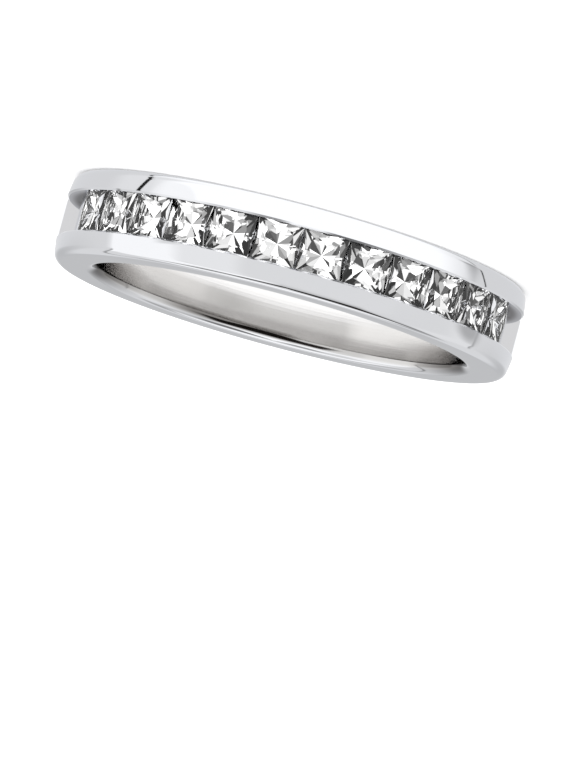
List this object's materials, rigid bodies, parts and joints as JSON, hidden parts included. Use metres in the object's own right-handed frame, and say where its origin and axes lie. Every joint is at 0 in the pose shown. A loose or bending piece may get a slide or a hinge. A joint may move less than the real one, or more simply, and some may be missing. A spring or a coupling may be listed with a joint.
{
  "type": "channel-set band ring",
  "caption": "Polished white metal band ring with square cut stones set edge to edge in a channel between two plain rails, rounded inside for the finger.",
  "frame": {"origin": "middle of the finger bore, on the lower side face that the ring lies on", "axes": "+Z along the finger bore, up; the middle of the stone row faces -Y; +X runs across the row"},
  "size_m": [0.0206, 0.0206, 0.0038],
  "materials": {
    "white_gold": "mirror polished",
    "diamond": "clear, faceted"
  },
  "bodies": {
    "root": {"band": "white_gold", "stone_01": "diamond", "stone_02": "diamond", "stone_03": "diamond", "stone_04": "diamond", "stone_05": "diamond", "stone_06": "diamond", "stone_07": "diamond", "stone_08": "diamond", "stone_09": "diamond", "stone_10": "diamond", "stone_11": "diamond", "stone_12": "diamond"}
  },
  "joints": []
}
